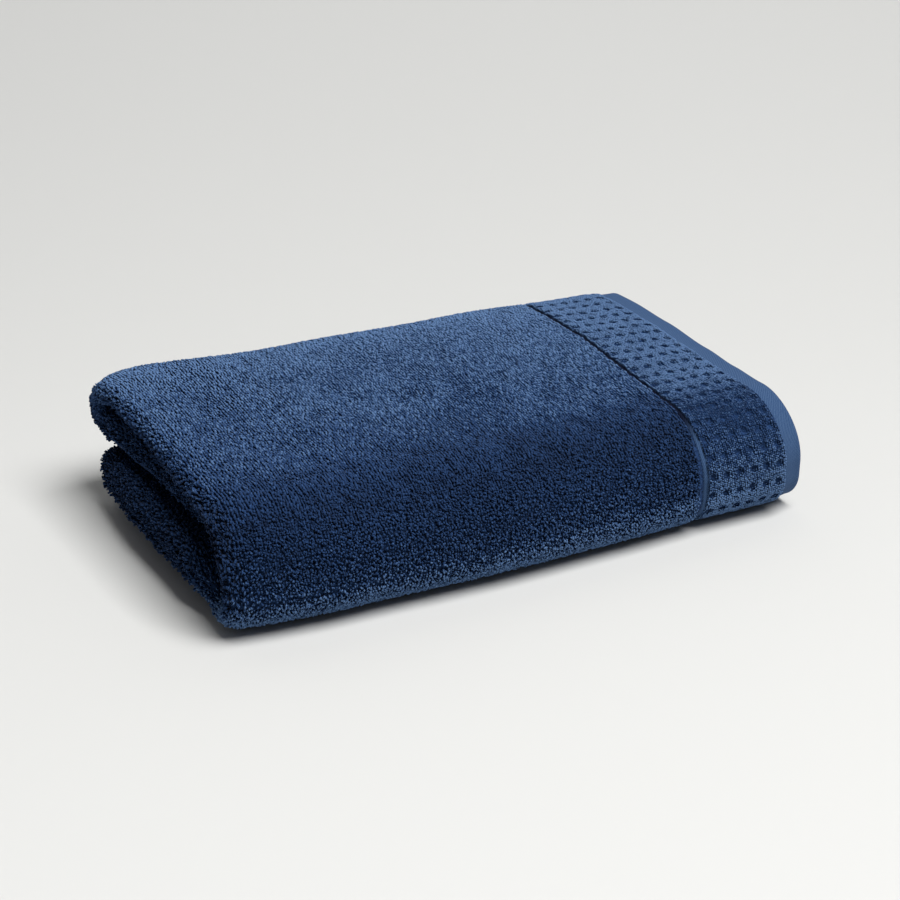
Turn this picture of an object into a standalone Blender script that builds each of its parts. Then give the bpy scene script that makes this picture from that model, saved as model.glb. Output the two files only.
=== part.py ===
"""Bath towel folded for a shelf.

The towel is one piece of terry with a flat hem, a low textured band and a
sunk woven line at each end. It is modelled flat, at its real size, and then
folded: quartered along its length into a pad of four nested layers, and the
pad folded in three across the width. Metres, +Z up, X along the folded length
with the hems at +X, Y across, Z = 0 on the surface it lies on.
"""
from collections import namedtuple
from math import pi

import bmesh
import bpy
import numpy as np

# ---- driving sizes, in metres --------------------------------------------------
LAYERS = 4                # layers in the quartered pad
PADS = 3                  # pads stacked by folding in three
STACK_HEIGHT = 0.083      # height of the twelve layers
FOLDED_DEPTH = 0.237      # front of the wrap to the back bend
HEM_X = 0.364             # outer hem, measured from the fold end's datum X = 0
INNER_HEM_X = 0.350       # the hem hidden in the pad
TURN_X = 0.340            # centre of the right-hand fold inside the pad
RUN_X = 0.056             # left of this the layers leave their straight run
PITCH = STACK_HEIGHT / (LAYERS * PADS)
TERRY_THICK = 0.0059      # ground cloth with its pile on both faces
BAND_THICK = 0.0048       # low terry of the border band
FLAT_THICK = 0.0030       # hem, and the woven line beside the band
HEM_WIDTH = 0.0140
LINE_START = 0.0705       # hem edge to the sunk woven line
LINE_WIDTH = 0.0030
STEP = 0.0008             # length over which the thickness changes
LOW_RADIUS = 0.0146       # pad centre, lower front corner
TOP_RADIUS = 0.0300       # pad centre, upper front corner
BOTTOM_EDGE_Y = 0.232     # side edge of the bottom pad, at the back
MIDDLE_EDGE_Y = 0.047     # side edge of the middle pad, inside the wrap

HALF_PAD = PITCH * LAYERS / 2
BACK_Y = FOLDED_DEPTH - 2 * HALF_PAD
WRAP_RISE = STACK_HEIGHT - 2 * HALF_PAD - LOW_RADIUS - TOP_RADIUS
TURN_RADIUS = PITCH / 2
TURN_LENGTH = pi * TURN_RADIUS
SURFACE_GAP = (PITCH - TERRY_THICK) / 2

# ---- the soft end of the fold --------------------------------------------------
END_SWELL = 0.0004        # how far the outer layer stands off the inner fold
END_DROP = 0.85           # share of the fall that is already at the tilt's slope
END_EASE = 1.3            # crowds the cells of the end curves towards the straight run
RETURN_IN = 0.25          # how long the returning layer keeps the lip's heading
RETURN_OUT = 0.30         # where it takes up the straight run's, as a share of the way
END_LIFT = 0.012          # how much fuller the bottom pad stands at the fold end
LIFT_FROM, LIFT_OVER = 0.050, 0.045       # X where that fullness starts, and its length
LIFT_FRONT, LIFT_DEPTH = 0.020, 0.030     # Y where it starts, and its depth
EDGE_SKEW = 0.024         # how far the bottom pad's edge drifts forward at the fold end
SKEW_WIDTH = 0.15         # width of pad that the drift dies out over
STAGGER = 0.002           # how far the layers' side edges miss each other
STAGGER_PHASE = 0.8

# ---- how the stack settles -----------------------------------------------------
FOLD_END_SHARE = 1.02     # height at the fold end, as a share of the full height
HEM_END_SHARE = 0.965
HEM_SAG = 0.0020          # fall of the thin hem end
SAG_FROM, SAG_OVER = 0.335, 0.029
BOW_DEPTH = 0.10          # depth from the front that the front's bow reaches

Stretch = namedtuple("Stretch", "name length cells")
Bend = namedtuple("Bend", "name length half_turns cells")
Lip = namedtuple("Lip", "across lip_x lip_w tilt square inner_x")
Share = namedtuple("Share", "at share")
Thick = namedtuple("Thick", "at thick")
Bow = namedtuple("Bow", "at forward")
Ripple = namedtuple("Ripple", "height rate_x rate_y phase_x phase_y")
Rise = namedtuple("Rise", "height x y reach_x reach_y")

# ---- the cloth from hem to hem: stretch, flat length, cells --------------------
BORDER = (
    Stretch("hem", HEM_WIDTH, 1),
    Stretch("hem step", STEP, 1),
    Stretch("band", LINE_START - HEM_WIDTH - 2 * STEP, 3),
    Stretch("line step in", STEP, 1),
    Stretch("line", LINE_WIDTH, 1),
    Stretch("line step out", STEP, 1),
)
BORDER_LENGTH = sum(stretch.length for stretch in BORDER)
ALONG = BORDER + (
    Stretch("outer run", HEM_X - RUN_X - BORDER_LENGTH, 5),
    Stretch("end curve", 0.070, 7),
    Stretch("lip", TURN_LENGTH * 0.65, 4),
    Stretch("return", 0.060, 6),
    Stretch("second run", TURN_X - RUN_X, 6),
    Stretch("right fold", TURN_LENGTH, 5),
    Stretch("third run", TURN_X - RUN_X, 6),
    Stretch("inner lead in", 0.022, 2),
    Stretch("inner fold", TURN_LENGTH, 5),
    Stretch("inner lead out", 0.022, 2),
    Stretch("last run", INNER_HEM_X - RUN_X - BORDER_LENGTH, 5),
) + BORDER[::-1]
FLAT_LENGTH = sum(stretch.length for stretch in ALONG)

# ---- the pad across the width: stretch, length, half turns, cells --------------
ACROSS = (
    Bend("bottom pad", BOTTOM_EDGE_Y - HALF_PAD - LOW_RADIUS, 0.0, 9),
    Bend("lower front corner", LOW_RADIUS * pi / 2, -0.5, 4),
    Bend("front", WRAP_RISE, 0.0, 1),
    Bend("upper front corner", TOP_RADIUS * pi / 2, -0.5, 5),
    Bend("top pad", BACK_Y - HALF_PAD - TOP_RADIUS, 0.0, 6),
    Bend("back bend", HALF_PAD * pi, -1.0, 6),
    Bend("middle pad", BACK_Y - MIDDLE_EDGE_Y, 0.0, 6),
)
FLAT_WIDTH = sum(bend.length for bend in ACROSS)

# ---- thickness by distance from the nearer hem edge ----------------------------
THICKNESS = (
    Thick(0.0, FLAT_THICK),
    Thick(HEM_WIDTH, FLAT_THICK),
    Thick(HEM_WIDTH + STEP, BAND_THICK),
    Thick(LINE_START - STEP, BAND_THICK),
    Thick(LINE_START, FLAT_THICK),
    Thick(LINE_START + LINE_WIDTH, FLAT_THICK),
    Thick(LINE_START + LINE_WIDTH + STEP, TERRY_THICK),
)

# ---- the fold end, by distance across the width --------------------------------
# lip_x, lip_w: centre of the sharp turn, along X and out from the pad's centre
# tilt: how far the outer layer has turned, in degrees, before that sharp turn
# square: share of the way that the outer layer runs straight before it turns
# inner_x: centre of the inner pair's fold
# Columns: across, lip_x, lip_w, tilt, square, inner_x
FOLD_END = (
    Lip(0.000, -0.008, -0.0055, 84, 1.08, 0.034),    # bottom pad, back
    Lip(0.080, -0.009, -0.0072, 92, 1.12, 0.034),
    Lip(0.170, -0.006, -0.0072, 90, 1.08, 0.036),
    Lip(0.188, -0.003, -0.0010, 50, 0.84, 0.044),    # bottom pad opens to a hollow mouth
    Lip(0.202, -0.003, 0.0030, 25, 0.76, 0.048),     # lower front corner
    Lip(0.227, -0.003, 0.0020, 30, 0.76, 0.048),
    Lip(0.238, -0.003, -0.0010, 45, 0.76, 0.042),    # front
    Lip(0.262, -0.002, -0.0055, 60, 0.76, 0.036),
    Lip(0.285, -0.001, -0.0060, 65, 0.76, 0.034),    # top pad, front
    Lip(0.320, -0.001, -0.0035, 65, 0.78, 0.036),
    Lip(0.365, -0.001, -0.0010, 65, 0.82, 0.038),
    Lip(0.435, -0.004, 0.0000, 65, 0.94, 0.038),     # top pad, back
    Lip(0.455, -0.006, -0.0040, 75, 1.00, 0.034),    # back bend
    Lip(0.475, -0.008, -0.0069, 85, 1.08, 0.032),
    Lip(0.500, -0.006, -0.0069, 98, 1.16, 0.034),    # middle pad, back
    Lip(0.532, 0.000, -0.0069, 108, 1.20, 0.036),
    Lip(0.580, 0.006, -0.0069, 112, 1.22, 0.038),
    Lip(0.656, 0.011, -0.0069, 114, 1.24, 0.042),    # middle pad, front
)

# ---- height of the stack by distance from the front ----------------------------
HEIGHT_SHARE = (
    Share(0.000, 0.86),
    Share(0.047, 0.89),
    Share(0.073, 0.91),
    Share(0.104, 0.94),
    Share(0.150, 0.98),
    Share(0.190, 1.00),
    Share(0.237, 0.99),
)

# ---- how far the front stands forward of a straight line, by distance along ----
FRONT_BOW = (
    Bow(0.000, 0.0005),
    Bow(0.065, 0.0046),
    Bow(0.157, 0.0076),
    Bow(0.240, 0.0066),
    Bow(0.285, 0.0048),
    Bow(0.345, 0.0056),
    Bow(0.364, 0.0015),
)

# ---- ripples of the top: height, radians per metre along X and Y, phases -------
RIPPLES = (
    Ripple(0.0012, 21, 19, 0.6, 1.1),
    Ripple(0.0006, 55, 31, 0.0, 1.6),
)

# ---- soft rises and dips of the top: height, centre, reach ---------------------
RISES = (
    Rise(0.0030, 0.285, 0.140, 0.070, 0.060),        # crown beside the border
    Rise(0.0026, 0.030, 0.205, 0.060, 0.050),        # back corner of the fold end
    Rise(-0.0010, 0.160, 0.190, 0.050, 0.050),       # hollow between the two
)


def stations(rows):
    """Cell edges along a table of stretches, each split evenly."""
    edges = [0.0]
    for row in rows:
        start = edges[-1]
        edges += [start + row.length * (cell + 1) / row.cells for cell in range(row.cells)]
    return np.array(edges)


def start_of(name):
    """Flat distance from the outer hem to a stretch's start, and its length."""
    at = 0.0
    for stretch in ALONG:
        if stretch.name == name:
            return at, stretch.length
        at += stretch.length
    raise KeyError(name)


def smooth(share):
    """Ease from 0 to 1, level at both ends."""
    share = np.clip(share, 0, 1)
    return share * share * (3 - 2 * share)


def reading(rows, column, at):
    """A smooth reading of a named column of a table keyed by its first column."""
    keys = np.array([row[0] for row in rows])
    values = np.array([getattr(row, column) for row in rows], dtype=float)
    index = np.clip(np.searchsorted(keys, at, side="right") - 1, 0, len(keys) - 2)
    share = smooth((at - keys[index]) / (keys[index + 1] - keys[index]))
    return values[index] * (1 - share) + values[index + 1] * share


def line(x0, x1, w, t):
    """Point and unit heading on a straight run at height w in the pad."""
    heading = np.sign(x1 - x0) * np.ones_like(t)
    return x0 + (x1 - x0) * t, w * np.ones_like(t), heading, np.zeros_like(t)


def arc(x0, w0, start, sweep, t):
    """Point and unit heading on a sharp turn; angles in radians."""
    angle = start + sweep * t
    turn = np.sign(sweep)
    x, w = x0 + TURN_RADIUS * np.cos(angle), w0 + TURN_RADIUS * np.sin(angle)
    return x, w, -np.sin(angle) * turn, np.cos(angle) * turn


def curve(p0, p1, p2, p3, t):
    """Point and unit heading on a cubic curve; points are (x, w) pairs."""
    s = 1 - t
    ends = list(zip(p0, p1, p2, p3))
    x, w = (s**3 * a + 3 * s * s * t * b + 3 * s * t * t * c + t**3 * d for a, b, c, d in ends)
    dx, dw = (s * s * (b - a) + 2 * s * t * (c - b) + t * t * (d - c) for a, b, c, d in ends)
    size = np.hypot(dx, dw)
    return x, w, dx / size, dw / size


def end_curve(lip_x, lip_w, tilt, square, t):
    """The outer layer, from its straight run down to the start of the lip."""
    outer = 3 * TURN_RADIUS
    reach = square * (RUN_X - lip_x)
    x, w = lip_x - TURN_RADIUS * np.sin(tilt), lip_w + TURN_RADIUS * np.cos(tilt)
    drop = END_DROP * (outer - w) / np.sin(tilt)
    corner = (RUN_X - reach, outer + END_SWELL)
    slope = (x + drop * np.cos(tilt), w + drop * np.sin(tilt))
    return curve((RUN_X, outer), corner, slope, (x, w), np.clip(t, 0, 1)**END_EASE)


def return_curve(lip_x, lip_w, inner_x, t):
    """The same layer, from the end of the lip back to its straight run."""
    level, second = lip_w - TURN_RADIUS, -3 * TURN_RADIUS
    way = inner_x - lip_x
    out = (lip_x + RETURN_IN * way, level)
    back = (lip_x + RETURN_OUT * way, second)
    return curve((lip_x, level), out, back, (RUN_X, second), 1 - (1 - np.clip(t, 0, 1))**END_EASE)


def lengthwise(u, v):
    """Where the cloth's middle lies in the pad: x, w and its heading."""
    lip_x, lip_w, square, inner_x = (
        reading(FOLD_END, column, v) for column in ("lip_x", "lip_w", "square", "inner_x"))
    tilt = np.radians(reading(FOLD_END, "tilt", v))
    inner, outer = TURN_RADIUS, 3 * TURN_RADIUS
    rules = {
        "outer run": lambda t: line(HEM_X - BORDER_LENGTH, RUN_X, outer, t),
        "end curve": lambda t: end_curve(lip_x, lip_w, tilt, square, t),
        "lip": lambda t: arc(lip_x, lip_w, pi / 2 + tilt, pi - tilt, t),
        "return": lambda t: return_curve(lip_x, lip_w, inner_x, t),
        "second run": lambda t: line(RUN_X, TURN_X, -outer, t),
        "right fold": lambda t: arc(TURN_X, -2 * TURN_RADIUS, -pi / 2, pi, t),
        "third run": lambda t: line(TURN_X, RUN_X, -inner, t),
        "inner lead in": lambda t: line(RUN_X, inner_x, -inner, t),
        "inner fold": lambda t: arc(inner_x, 0.0, -pi / 2, -pi, t),
        "inner lead out": lambda t: line(inner_x, RUN_X, inner, t),
        "last run": lambda t: line(RUN_X, INNER_HEM_X - BORDER_LENGTH, inner, t),
    }
    spot = None
    for name, rule in rules.items():
        at, length = start_of(name)
        found = rule((u - at) / length)
        if spot is not None:
            found = tuple(np.where(u > at, new, old) for new, old in zip(found, spot))
        spot = found
    return spot


def crosswise(v):
    """The pad's middle line in Y and Z, with the normal to its outer side."""
    y, z = np.full_like(v, BOTTOM_EDGE_Y), np.full_like(v, HALF_PAD)
    heading = np.full_like(v, pi)
    at = 0.0
    for bend in ACROSS:
        gone = np.clip(v - at, 0, bend.length)
        if bend.half_turns:
            rate = bend.half_turns * pi / bend.length
            y = y + (np.sin(heading + rate * gone) - np.sin(heading)) / rate
            z = z - (np.cos(heading + rate * gone) - np.cos(heading)) / rate
            heading = heading + rate * gone
        else:
            y = y + np.cos(heading) * gone
            z = z + np.sin(heading) * gone
        at += bend.length
    beyond = v - np.clip(v, 0, FLAT_WIDTH)
    y = y + np.cos(heading) * beyond
    z = z + np.sin(heading) * beyond
    return y, z, -np.sin(heading), np.cos(heading)


def settle(x, y, z):
    """The stack as it lies: lower at the front, fuller at the fold end, uneven."""
    z = np.maximum(z - SURFACE_GAP, 0)
    level = z / STACK_HEIGHT
    along = np.clip(x / HEM_X, 0, 1)
    share = FOLD_END_SHARE + (HEM_END_SHARE - FOLD_END_SHARE) * along
    share = share * reading(HEIGHT_SHARE, "share", y)
    fullness = smooth((LIFT_FROM - x) / LIFT_OVER) * smooth((y - LIFT_FRONT) / LIFT_DEPTH)
    lift = END_LIFT * fullness * np.minimum(level * PADS, (1 - level) * PADS / (PADS - 1))
    top = -HEM_SAG * smooth((x - SAG_FROM) / SAG_OVER)
    for row in RIPPLES:
        ripple = np.sin(row.rate_x * x + row.phase_x) * np.sin(row.rate_y * y + row.phase_y)
        top = top + row.height * ripple
    for row in RISES:
        away = ((x - row.x) / row.reach_x)**2 + ((y - row.y) / row.reach_y)**2
        top = top + row.height * np.exp(-away)
    forward = reading(FRONT_BOW, "forward", x) * np.clip(1 - y / BOW_DEPTH, 0, 1)
    return x, y - forward, z * share + lift + top * level


def fold(u, v, n):
    """Take points of the flat towel (along, across, out of its face) to the folded one."""
    v = v + STAGGER * np.sin(4 * pi * u / FLAT_LENGTH + STAGGER_PHASE)
    x, w, dx, dw = lengthwise(u, v)
    x, w = x + n * dw, w - n * dx
    drift = EDGE_SKEW * smooth(1 - x / HEM_X) * np.clip(1 - v / SKEW_WIDTH, 0, 1)
    y, z, ny, nz = crosswise(v + drift)
    return settle(x, y + w * ny, z + w * nz)


def flat_towel(name):
    """The towel laid flat: a grid with a cell edge at every station, given thickness."""
    mesh = bpy.data.meshes.new(name)
    shape = bmesh.new()
    columns, rows = len(stations(ALONG)) - 1, len(stations(ACROSS)) - 1
    bmesh.ops.create_grid(shape, x_segments=columns, y_segments=rows, size=0.5)
    shape.to_mesh(mesh)
    shape.free()
    sheet = bpy.data.objects.new(name, mesh)
    towel_parts.objects.link(sheet)
    thick = sheet.modifiers.new("Thickness", "SOLIDIFY")
    thick.thickness = TERRY_THICK
    thick.offset = 0.0
    bpy.context.view_layer.update()
    scene_now = bpy.context.evaluated_depsgraph_get()
    solid = bpy.data.meshes.new_from_object(sheet.evaluated_get(scene_now))
    sheet.modifiers.clear()
    sheet.data = solid
    return sheet


def folded_towel(name, material):
    """The towel's solid, folded and set over the origin."""
    towel = flat_towel(name)
    mesh = towel.data
    points = np.empty(len(mesh.vertices) * 3)
    mesh.vertices.foreach_get("co", points)
    points = points.reshape(-1, 3)
    along, across = stations(ALONG), stations(ACROSS)
    u = np.interp(points[:, 0] + 0.5, np.linspace(0, 1, len(along)), along)
    v = np.interp(points[:, 1] + 0.5, np.linspace(0, 1, len(across)), across)
    from_hem = np.minimum(u, FLAT_LENGTH - u)
    keys, thick = zip(*THICKNESS)
    n = np.sign(points[:, 2]) * np.interp(from_hem, keys, thick) / 2
    placed = np.stack(fold(u, v, n), axis=1)
    low, high = placed.min(axis=0), placed.max(axis=0)
    placed -= ((low[0] + high[0]) / 2, (low[1] + high[1]) / 2, low[2])
    mesh.vertices.foreach_set("co", placed.ravel())
    shape = bmesh.new()
    shape.from_mesh(mesh)
    bmesh.ops.recalc_face_normals(shape, faces=shape.faces)
    shape.to_mesh(mesh)
    shape.free()
    mesh.materials.append(material)
    mesh.shade_smooth()
    return towel


def terry_material():
    material = bpy.data.materials.new("navy cotton terry")
    material.use_nodes = True
    shader = material.node_tree.nodes["Principled BSDF"]
    shader.inputs["Base Color"].default_value = (0.03, 0.07, 0.17, 1)
    shader.inputs["Roughness"].default_value = 0.95
    shader.inputs["Metallic"].default_value = 0.0
    return material


for item in list(bpy.data.objects):
    bpy.data.objects.remove(item)
towel_parts = bpy.data.collections.new("Folded bath towel")
bpy.context.scene.collection.children.link(towel_parts)
folded_towel("towel", terry_material())
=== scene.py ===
# %% [markdown]
# # A folded bath towel
# A navy terry bath towel, folded for a shelf: quartered along its length, then folded in three
# across its width, with the flat hem and the textured border at one end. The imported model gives
# the size and the place of everything. This lesson lays the same cloth out finely, folds it by the
# same rule, and then gives it what makes terry look like terry: tens of thousands of small loops.

# %% Frame
import math
from collections import namedtuple

import bmesh
import bpy
import numpy as np
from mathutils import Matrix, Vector


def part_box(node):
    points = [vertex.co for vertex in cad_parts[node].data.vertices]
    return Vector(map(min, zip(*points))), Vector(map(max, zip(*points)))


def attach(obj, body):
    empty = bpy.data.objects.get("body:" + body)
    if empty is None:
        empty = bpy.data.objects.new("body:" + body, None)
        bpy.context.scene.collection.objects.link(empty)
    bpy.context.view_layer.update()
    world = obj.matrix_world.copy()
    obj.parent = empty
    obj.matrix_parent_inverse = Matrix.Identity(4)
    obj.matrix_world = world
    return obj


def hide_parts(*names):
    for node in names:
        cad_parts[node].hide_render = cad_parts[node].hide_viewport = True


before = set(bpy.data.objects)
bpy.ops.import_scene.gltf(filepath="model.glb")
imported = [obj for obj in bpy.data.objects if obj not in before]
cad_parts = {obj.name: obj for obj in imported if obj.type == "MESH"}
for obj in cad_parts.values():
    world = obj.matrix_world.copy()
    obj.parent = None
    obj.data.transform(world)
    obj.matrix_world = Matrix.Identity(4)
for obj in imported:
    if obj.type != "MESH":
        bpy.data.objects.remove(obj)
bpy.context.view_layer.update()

scene = bpy.context.scene
towel_low, towel_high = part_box("towel")
print("towel box in mm:", [round(1000 * (high - low)) for low, high in zip(towel_low, towel_high)])

# %% [markdown]
# ## Small helpers
# Colours are judged as the hex values of a colour picker, which are sRGB, while shaders work in
# linear light. A node is added, set up and linked in one call, so that a whole material or modifier
# reads like a recipe. Shapes are built as a bmesh and then written to a mesh.

# %% Helpers
def linear(hex_colour):
    """An sRGB hex colour as linear RGBA."""
    parts = [int(hex_colour[at:at + 2], 16) / 255 for at in (1, 3, 5)]
    return tuple(c / 12.92 if c <= 0.04045 else ((c + 0.055) / 1.055)**2.4 for c in parts) + (1.0,)


def set_inputs(node, inputs):
    """Fills inputs with values or links. A node as a value stands for its first output."""
    for key, value in inputs.items():
        if isinstance(value, bpy.types.Node):
            value = value.outputs[0]
        if isinstance(value, bpy.types.NodeSocket):
            node.id_data.links.new(value, node.inputs[key])
        else:
            node.inputs[key].default_value = value


def add_node(tree, kind, inputs=None, stops=(), **settings):
    """Adds a node with its settings, its inputs and, on a colour ramp, its stops."""
    node = tree.nodes.new(kind)
    for name, value in settings.items():
        setattr(node, name, value)
    set_inputs(node, inputs or {})
    for index, (place, colour) in enumerate(stops):
        elements = node.color_ramp.elements
        element = elements[index] if index < len(elements) else elements.new(place)
        element.position = place
        element.color = linear(colour)
    return node


def new_material(name, inputs):
    """A material with its shader's inputs filled, its node tree and its shader."""
    material = bpy.data.materials.new(name)
    material.use_nodes = True
    shader = material.node_tree.nodes["Principled BSDF"]
    set_inputs(shader, inputs)
    return material, material.node_tree, shader


def new_mesh(name, shape):
    """A smooth mesh of a bmesh, which is freed."""
    mesh = bpy.data.meshes.new(name)
    shape.to_mesh(mesh)
    shape.free()
    mesh.shade_smooth()
    return mesh


print("middle grey in linear light:", round(linear("#808080")[0], 3))

# %% [markdown]
# ## Camera
# A product shot from the front left, a good metre away and a little above, with a short telephoto
# lens so that the stack keeps its straight lines.

# %% Camera
CAMERA_PLACE = Vector((-0.4687, -0.9030, 0.4951))
CAMERA_TURN = math.radians(27.74)  # from straight along +Y towards +X
CAMERA_DIP = math.radians(24.39)
CAMERA_LENS = 71.9  # mm, on a 36 mm wide sensor

camera = bpy.data.objects.new("camera", bpy.data.cameras.new("camera"))
scene.collection.objects.link(camera)
looking = Vector((
    math.sin(CAMERA_TURN) * math.cos(CAMERA_DIP),
    math.cos(CAMERA_TURN) * math.cos(CAMERA_DIP),
    -math.sin(CAMERA_DIP)))
camera.location = CAMERA_PLACE
camera.rotation_euler = looking.to_track_quat("-Z", "Y").to_euler()
camera.data.lens = CAMERA_LENS
camera.data.sensor_width = 36
scene.camera = camera
print("camera is", round(CAMERA_PLACE.length, 2), "m from the towel")

# %% [markdown]
# ## Studio floor
# The towel lies on a pale sweep. A floor and a wall would show the line where they meet, so the
# sweep is one strip that curves up behind the towel in a quarter circle, and no horizon shows.

# %% Sweep
SWEEP_COLOUR = "#d0d0ce"
SWEEP_WIDTH = 9.0
SWEEP_FRONT = 4.0  # how far it runs towards the camera
SWEEP_BACK = 0.22  # from under the towel to where it curves up
SWEEP_RADIUS = 0.8
SWEEP_TOP = 3.5
SWEEP_STEPS = 24  # straight steps in the curve


def board_material():
    """Matt painted board: it spreads the light evenly and shows no gleam of the lamp."""
    return new_material("matt studio sweep", {
        "Base Color": linear(SWEEP_COLOUR), "Roughness": 0.9, "Specular IOR Level": 0.1})[0]


def add_sweep():
    """A floor that curves up behind the towel, square to the camera's heading."""
    angles = [math.pi / 2 * step / SWEEP_STEPS for step in range(SWEEP_STEPS + 1)]
    profile = [(-SWEEP_FRONT, 0.0)]
    profile += [(SWEEP_BACK + SWEEP_RADIUS * math.sin(angle), SWEEP_RADIUS * (1 - math.cos(angle)))
                for angle in angles]
    profile.append((SWEEP_BACK + SWEEP_RADIUS, SWEEP_TOP))
    shape = bmesh.new()
    edges = [[shape.verts.new((side * SWEEP_WIDTH / 2, y, z)) for side in (-1, 1)] for y, z in profile]
    for near, far in zip(edges, edges[1:]):
        shape.faces.new((near[0], near[1], far[1], far[0]))
    mesh = new_mesh("floor", shape)
    mesh.materials.append(board_material())
    floor = bpy.data.objects.new("floor", mesh)
    floor.location.z = towel_low.z
    floor.rotation_euler.z = -CAMERA_TURN
    scene.collection.objects.link(floor)


add_sweep()
print("floor lies at", round(towel_low.z, 4), "m")

# %% [markdown]
# ## Light
# One big softbox hangs high in front, a little to the right, and is aimed past the towel to the
# left, so the top is bright and the front falls into shade. A weak plain world fills the rest.

# %% Light
KEY_PLACE, KEY_AIM = Vector((0.56, -1.25, 3.00)), Vector((-2.5, -1.80, 0.0))
KEY_SIZE, KEY_WATTS = 2.2, 188  # side of the square softbox, and its power
WORLD_COLOUR, WORLD_STRENGTH = "#f4f4f6", 0.10

lamp = bpy.data.lights.new("key softbox", "AREA")
lamp.shape = "SQUARE"
lamp.size = KEY_SIZE
lamp.energy = KEY_WATTS
softbox = bpy.data.objects.new("key softbox", lamp)
softbox.location = KEY_PLACE
softbox.rotation_euler = (KEY_AIM - KEY_PLACE).to_track_quat("-Z", "Y").to_euler()
scene.collection.objects.link(softbox)
world = bpy.data.worlds.new("studio")
scene.world = world
world.use_nodes = True
set_inputs(world.node_tree.nodes["Background"], {
    "Color": linear(WORLD_COLOUR), "Strength": WORLD_STRENGTH})
scene.view_settings.view_transform = "Standard"

# %% [markdown]
# ## The fold
# A folded towel could be simulated, but twelve nested layers of thick cloth are hard to bring to
# rest. Folding by rule is exact: a point of the flat cloth is given by u, its distance from the
# outer hem, by v, its distance across, and by n, its height out of the face. One function lays the
# length back and forth into a pad of four layers, a second wraps the pad in three, and a third lets
# the stack settle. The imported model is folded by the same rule. Its sizes are repeated here, in metres.

# %% Fold sizes
LAYERS = 4            # of the quartered pad
PADS = 3              # stacked by folding in three
STACK_HEIGHT = 0.083  # all twelve layers
FOLDED_DEPTH = 0.237  # front of the wrap to the back bend
HEM_X = 0.364         # outer hem, measured from the fold end's datum X = 0
INNER_HEM_X = 0.350   # the hem hidden in the pad
TURN_X = 0.340        # centre of the right-hand fold inside the pad
RUN_X = 0.056         # left of this the layers leave their straight run
PITCH = STACK_HEIGHT / (LAYERS * PADS)
TERRY_THICK = 0.0059  # ground cloth with its pile on both faces
BAND_THICK = 0.0048   # low terry of the border band
FLAT_THICK = 0.0030   # hem, and the woven line beside the band
HEM_WIDTH = 0.0140
LINE_START = 0.0705  # hem edge to the sunk woven line
LINE_WIDTH = 0.0030
STEP = 0.0008          # length over which the thickness changes
LOW_RADIUS = 0.0146    # pad centre, lower front corner
TOP_RADIUS = 0.0300    # pad centre, upper front corner
BOTTOM_EDGE_Y = 0.232  # side edge of the bottom pad, at the back
MIDDLE_EDGE_Y = 0.047  # side edge of the middle pad, inside the wrap

HALF_PAD = PITCH * LAYERS / 2
BACK_Y = FOLDED_DEPTH - 2 * HALF_PAD
WRAP_RISE = STACK_HEIGHT - 2 * HALF_PAD - LOW_RADIUS - TOP_RADIUS
TURN_RADIUS = PITCH / 2
TURN_LENGTH = math.pi * TURN_RADIUS
SURFACE_GAP = (PITCH - TERRY_THICK) / 2
print("layers lie", round(1000 * PITCH, 2), "mm apart")

# %% [markdown]
# ## Soft and uneven
# Thick cloth neither folds sharply nor lies level. These values say how softly the fold end rounds
# and how the stack settles. They could be sculpted by hand, but values are easy to change again.

# %% Softness
END_SWELL = 0.0004  # how far the outer layer stands off the inner fold
END_DROP = 0.85     # share of the fall that is already at the tilt's slope
END_EASE = 1.3      # crowds the cells of the end curves towards the straight run
RETURN_IN = 0.25    # how long the returning layer keeps the lip's heading
RETURN_OUT = 0.30   # where it takes up the straight run's, as a share of the way
END_LIFT = 0.012    # how much fuller the bottom pad stands at the fold end
LIFT_FROM, LIFT_OVER = 0.050, 0.045  # X where that fullness starts, and its length
LIFT_FRONT, LIFT_DEPTH = 0.020, 0.030  # Y where it starts, and its depth
EDGE_SKEW = 0.024   # how far the bottom pad's edge drifts forward at the fold end
SKEW_WIDTH = 0.15   # width of pad that the drift dies out over
STAGGER = 0.002     # how far the layers' side edges miss each other
STAGGER_PHASE = 0.8

FOLD_END_SHARE = 1.02  # height at the fold end, as a share of the full height
HEM_END_SHARE = 0.965
HEM_SAG = 0.0020  # fall of the thin hem end
SAG_FROM, SAG_OVER = 0.335, 0.029
BOW_DEPTH = 0.10  # depth from the front that the front's bow reaches
print("the hem end sags by", 1000 * HEM_SAG, "mm")

# %% [markdown]
# ## The flat cloth
# The cloth as it comes off the loom. Each stretch has its flat length and its number of cells, so
# that a cell edge falls on every change of thickness and wherever a fold starts.

# %% Flat cloth
Stretch = namedtuple("Stretch", "name length cells")
Bend = namedtuple("Bend", "name length half_turns cells")
Thick = namedtuple("Thick", "at thick")

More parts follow.
